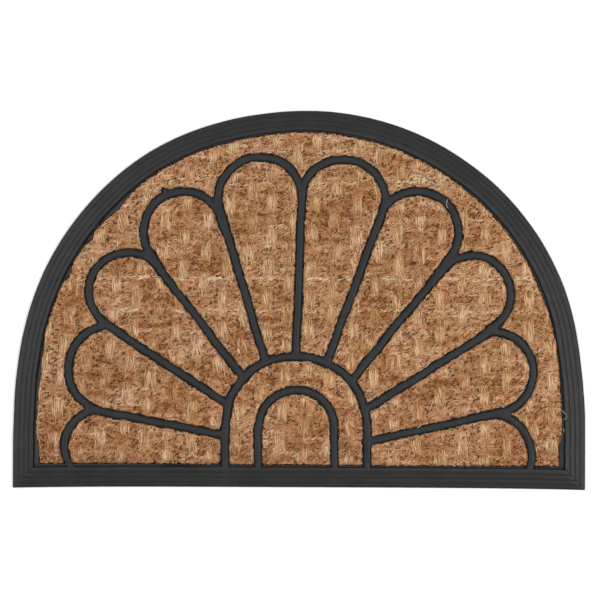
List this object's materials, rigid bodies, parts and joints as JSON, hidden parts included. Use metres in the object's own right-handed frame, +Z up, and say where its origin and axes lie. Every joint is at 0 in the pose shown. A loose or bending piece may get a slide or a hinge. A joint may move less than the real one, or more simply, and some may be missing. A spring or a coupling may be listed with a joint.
{
  "type": "coir doormat",
  "caption": "Half-round doormat: woven coir cloth set in a moulded rubber tray with a stepped, grooved border and a raised fan of petal lines.",
  "frame": {"origin": "on the floor, under the middle of the mat's box", "axes": "+X along the straight edge, +Y from the straight edge to the rounded side, +Z up"},
  "size_m": [0.6, 0.395, 0.01],
  "materials": {
    "black_rubber": "matte moulded",
    "natural_coir": "coarse woven plant fibre, undyed"
  },
  "bodies": {
    "root": {"rubber_moulding": "black_rubber", "coir_cloth": "natural_coir"}
  },
  "joints": []
}
